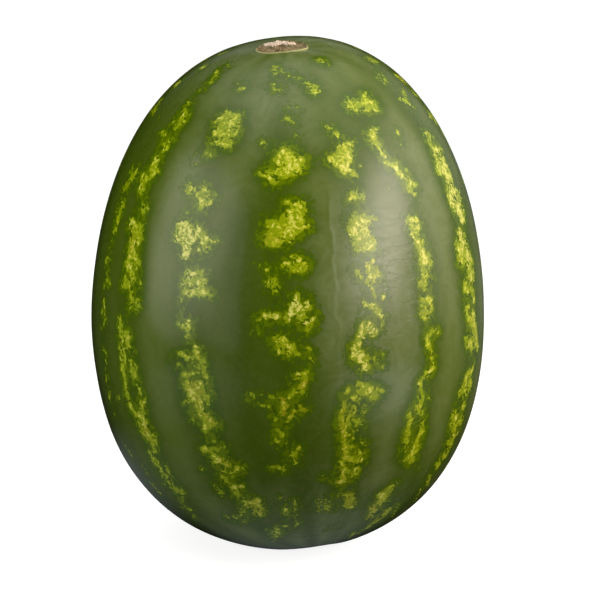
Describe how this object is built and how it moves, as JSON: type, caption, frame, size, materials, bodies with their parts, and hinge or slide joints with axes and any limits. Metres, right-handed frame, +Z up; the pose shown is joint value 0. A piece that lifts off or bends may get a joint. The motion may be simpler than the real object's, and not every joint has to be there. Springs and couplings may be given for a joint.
{
  "type": "watermelon",
  "caption": "Whole watermelon, short and slightly egg-shaped, with broken yellow-green stripes and a dry stem scar, standing on its blossom end.",
  "frame": {"origin": "on the fruit's upright axis, in the plane of the small flat spot it rests on", "axes": "+Z up from the resting spot towards the stem end; -Y towards the side the stem scar and the blossom scar lean to"},
  "size_m": [0.2208, 0.2208, 0.2866],
  "materials": {
    "rind": "waxy semi-gloss fruit skin, dark green with broken yellow-green stripes"
  },
  "bodies": {
    "root": {"watermelon": "rind"}
  },
  "joints": []
}
